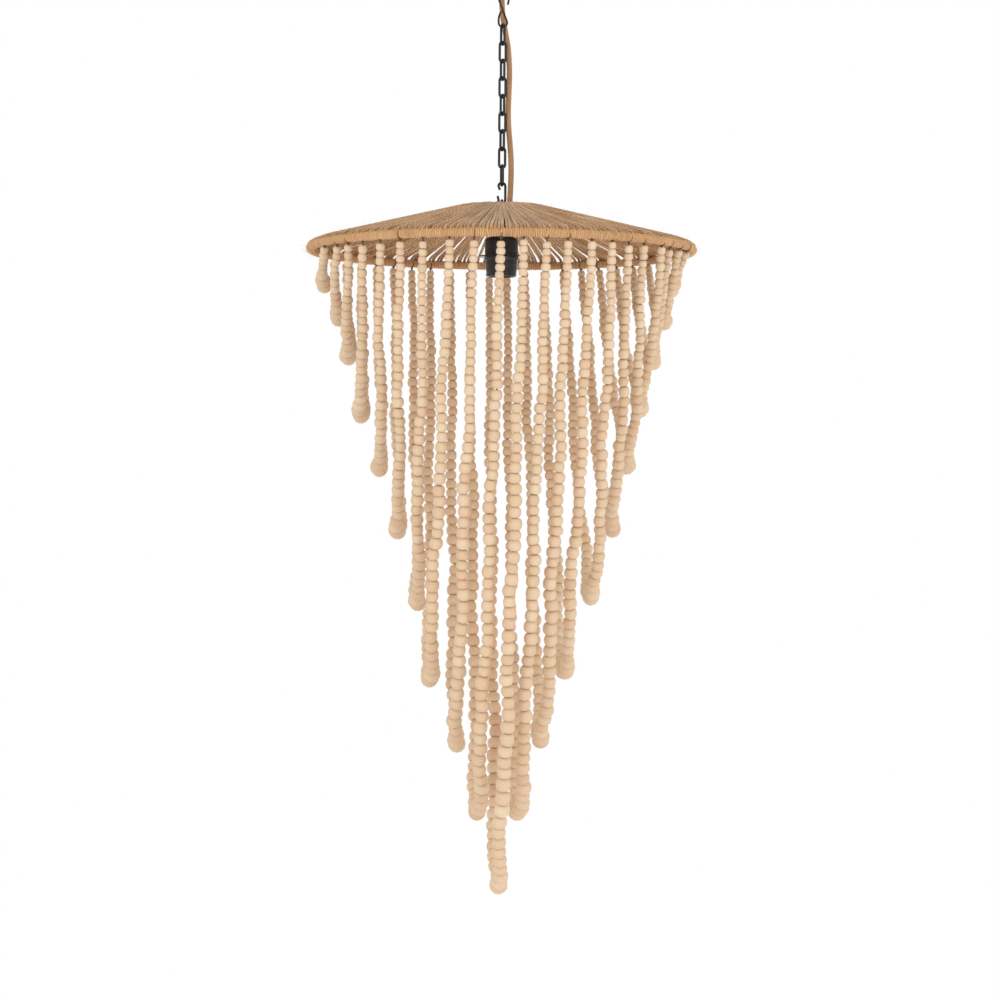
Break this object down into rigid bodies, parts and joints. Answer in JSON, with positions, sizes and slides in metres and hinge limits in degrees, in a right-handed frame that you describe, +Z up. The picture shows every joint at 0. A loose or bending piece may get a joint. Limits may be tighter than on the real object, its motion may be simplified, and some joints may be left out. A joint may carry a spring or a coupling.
{
  "type": "beaded chandelier",
  "caption": "Hanging chandelier with a jute-wound cone shade on a wire frame and graded wooden bead strands looping from front to back in a deep point.",
  "frame": {"origin": "middle of the mounting plate's top face, which lies on the ceiling", "axes": "+Z up into the ceiling, the strands run front to back along Y, the cord hangs beside the chain on +X"},
  "size_m": [0.585, 0.585, 1.4078],
  "materials": {
    "jute": "twisted jute cord",
    "black_steel": "satin black paint",
    "zinc_steel": "zinc plated",
    "black_plastic": "moulded black plastic",
    "brass": "plain brass",
    "ceramic": "unglazed white",
    "wood_beads": "raw sanded wood"
  },
  "bodies": {
    "ceiling": {"mounting_plate": "zinc_steel", "canopy": "black_steel", "ceiling_eye": "black_steel", "canopy_nut": "zinc_steel", "cord_grip": "black_plastic", "terminal_block": "ceramic", "supply_tail": "jute"},
    "hanger": {"ceiling_hook": "black_steel", "link_1": "black_steel", "link_2": "black_steel", "link_3": "black_steel", "link_4": "black_steel", "link_5": "black_steel", "link_6": "black_steel", "link_7": "black_steel", "link_8": "black_steel", "link_9": "black_steel", "open_link": "black_steel", "supply_cord": "jute"},
    "shade": {"crown_eye": "black_steel", "crown_nut": "zinc_steel", "hub_ring": "jute", "crown_ring": "jute", "rim_ring": "black_steel", "spoke_1": "jute", "spoke_2": "jute", "spoke_3": "jute", "spoke_4": "jute", "rim_wrapping": "jute", "jute_cone": "jute", "crown_bar": "black_steel", "holder_bracket": "black_steel", "lampholder_cap": "black_plastic", "lampholder_sleeve": "black_plastic", "retaining_ring": "black_plastic", "insulator": "ceramic", "contact_shell": "brass", "centre_contact": "brass", "lamp_lead": "jute"},
    "strand_middle": {"strand_middle": "wood_beads"},
    "strand_left_1": {"strand_left_1": "wood_beads"},
    "strand_right_1": {"strand_right_1": "wood_beads"},
    "strand_left_2": {"strand_left_2": "wood_beads"},
    "strand_right_2": {"strand_right_2": "wood_beads"},
    "strand_left_3": {"strand_left_3": "wood_beads"},
    "strand_right_3": {"strand_right_3": "wood_beads"},
    "strand_left_4": {"strand_left_4": "wood_beads"},
    "strand_right_4": {"strand_right_4": "wood_beads"},
    "strand_left_5": {"strand_left_5": "wood_beads"},
    "strand_right_5": {"strand_right_5": "wood_beads"},
    "strand_left_6": {"strand_left_6": "wood_beads"},
    "strand_right_6": {"strand_right_6": "wood_beads"},
    "strand_left_7": {"strand_left_7": "wood_beads"},
    "strand_right_7": {"strand_right_7": "wood_beads"},
    "strand_left_8": {"strand_left_8": "wood_beads"},
    "strand_right_8": {"strand_right_8": "wood_beads"},
    "strand_left_9": {"strand_left_9": "wood_beads"},
    "strand_right_9": {"strand_right_9": "wood_beads"},
    "strand_left_10": {"strand_left_10": "wood_beads"},
    "strand_right_10": {"strand_right_10": "wood_beads"}
  },
  "joints": [
    {"name": "hanger_swing", "type": "hinge", "parent": "ceiling", "child": "hanger", "pos_m": [0, 0, -0.0563], "axis": [0, 1, 0], "range_deg": [-15, 15]},
    {"name": "shade_tilt", "type": "hinge", "parent": "hanger", "child": "shade", "pos_m": [0, 0, -0.37155], "axis": [1, 0, 0], "range_deg": [-6, 6]},
    {"name": "strand_middle_sway", "type": "hinge", "parent": "shade", "child": "strand_middle", "pos_m": [0, 0, -0.4492], "axis": [0, 1, 0], "range_deg": [-8, 8]},
    {"name": "strand_left_1_sway", "type": "hinge", "parent": "shade", "child": "strand_left_1", "pos_m": [-0.03386, 0, -0.4492], "axis": [0, 1, 0], "range_deg": [-8, 8]},
    {"name": "strand_right_1_sway", "type": "hinge", "parent": "shade", "child": "strand_right_1", "pos_m": [0.03386, 0, -0.4492], "axis": [0, 1, 0], "range_deg": [-8, 8]},
    {"name": "strand_left_2_sway", "type": "hinge", "parent": "shade", "child": "strand_left_2", "pos_m": [-0.06725, 0, -0.4492], "axis": [0, 1, 0], "range_deg": [-8, 8]},
    {"name": "strand_right_2_sway", "type": "hinge", "parent": "shade", "child": "strand_right_2", "pos_m": [0.06725, 0, -0.4492], "axis": [0, 1, 0], "range_deg": [-8, 8]},
    {"name": "strand_left_3_sway", "type": "hinge", "parent": "shade", "child": "strand_left_3", "pos_m": [-0.09969, 0, -0.4492], "axis": [0, 1, 0], "range_deg": [-8, 8]},
    {"name": "strand_right_3_sway", "type": "hinge", "parent": "shade", "child": "strand_right_3", "pos_m": [0.09969, 0, -0.4492], "axis": [0, 1, 0], "range_deg": [-8, 8]},
    {"name": "strand_left_4_sway", "type": "hinge", "parent": "shade", "child": "strand_left_4", "pos_m": [-0.13073, 0, -0.4492], "axis": [0, 1, 0], "range_deg": [-8, 8]},
    {"name": "strand_right_4_sway", "type": "hinge", "parent": "shade", "child": "strand_right_4", "pos_m": [0.13073, 0, -0.4492], "axis": [0, 1, 0], "range_deg": [-8, 8]},
    {"name": "strand_left_5_sway", "type": "hinge", "parent": "shade", "child": "strand_left_5", "pos_m": [-0.15993, 0, -0.4492], "axis": [0, 1, 0], "range_deg": [-8, 8]},
    {"name": "strand_right_5_sway", "type": "hinge", "parent": "shade", "child": "strand_right_5", "pos_m": [0.15993, 0, -0.4492], "axis": [0, 1, 0], "range_deg": [-8, 8]},
    {"name": "strand_left_6_sway", "type": "hinge", "parent": "shade", "child": "strand_left_6", "pos_m": [-0.18688, 0, -0.4492], "axis": [0, 1, 0], "range_deg": [-8, 8]},
    {"name": "strand_right_6_sway", "type": "hinge", "parent": "shade", "child": "strand_right_6", "pos_m": [0.18688, 0, -0.4492], "axis": [0, 1, 0], "range_deg": [-8, 8]},
    {"name": "strand_left_7_sway", "type": "hinge", "parent": "shade", "child": "strand_left_7", "pos_m": [-0.2112, 0, -0.4492], "axis": [0, 1, 0], "range_deg": [-8, 8]},
    {"name": "strand_right_7_sway", "type": "hinge", "parent": "shade", "child": "strand_right_7", "pos_m": [0.2112, 0, -0.4492], "axis": [0, 1, 0], "range_deg": [-8, 8]},
    {"name": "strand_left_8_sway", "type": "hinge", "parent": "shade", "child": "strand_left_8", "pos_m": [-0.23255, 0, -0.4492], "axis": [0, 1, 0], "range_deg": [-8, 8]},
    {"name": "strand_right_8_sway", "type": "hinge", "parent": "shade", "child": "strand_right_8", "pos_m": [0.23255, 0, -0.4492], "axis": [0, 1, 0], "range_deg": [-8, 8]},
    {"name": "strand_left_9_sway", "type": "hinge", "parent": "shade", "child": "strand_left_9", "pos_m": [-0.25062, 0, -0.4492], "axis": [0, 1, 0], "range_deg": [-8, 8]},
    {"name": "strand_right_9_sway", "type": "hinge", "parent": "shade", "child": "strand_right_9", "pos_m": [0.25062, 0, -0.4492], "axis": [0, 1, 0], "range_deg": [-8, 8]},
    {"name": "strand_left_10_sway", "type": "hinge", "parent": "shade", "child": "strand_left_10", "pos_m": [-0.26517, 0, -0.4492], "axis": [0, 1, 0], "range_deg": [-8, 8]},
    {"name": "strand_right_10_sway", "type": "hinge", "parent": "shade", "child": "strand_right_10", "pos_m": [0.26517, 0, -0.4492], "axis": [0, 1, 0], "range_deg": [-8, 8]}
  ],
  "couplings": [
    {"joint": "strand_left_1_sway", "follows": "strand_middle_sway", "ratio": 1},
    {"joint": "strand_right_1_sway", "follows": "strand_middle_sway", "ratio": 1},
    {"joint": "strand_left_2_sway", "follows": "strand_middle_sway", "ratio": 1},
    {"joint": "strand_right_2_sway", "follows": "strand_middle_sway", "ratio": 1},
    {"joint": "strand_left_3_sway", "follows": "strand_middle_sway", "ratio": 1},
    {"joint": "strand_right_3_sway", "follows": "strand_middle_sway", "ratio": 1},
    {"joint": "strand_left_4_sway", "follows": "strand_middle_sway", "ratio": 1},
    {"joint": "strand_right_4_sway", "follows": "strand_middle_sway", "ratio": 1},
    {"joint": "strand_left_5_sway", "follows": "strand_middle_sway", "ratio": 1},
    {"joint": "strand_right_5_sway", "follows": "strand_middle_sway", "ratio": 1},
    {"joint": "strand_left_6_sway", "follows": "strand_middle_sway", "ratio": 1},
    {"joint": "strand_right_6_sway", "follows": "strand_middle_sway", "ratio": 1},
    {"joint": "strand_left_7_sway", "follows": "strand_middle_sway", "ratio": 1},
    {"joint": "strand_right_7_sway", "follows": "strand_middle_sway", "ratio": 1},
    {"joint": "strand_left_8_sway", "follows": "strand_middle_sway", "ratio": 1},
    {"joint": "strand_right_8_sway", "follows": "strand_middle_sway", "ratio": 1},
    {"joint": "strand_left_9_sway", "follows": "strand_middle_sway", "ratio": 1},
    {"joint": "strand_right_9_sway", "follows": "strand_middle_sway", "ratio": 1},
    {"joint": "strand_left_10_sway", "follows": "strand_middle_sway", "ratio": 1},
    {"joint": "strand_right_10_sway", "follows": "strand_middle_sway", "ratio": 1}
  ]
}
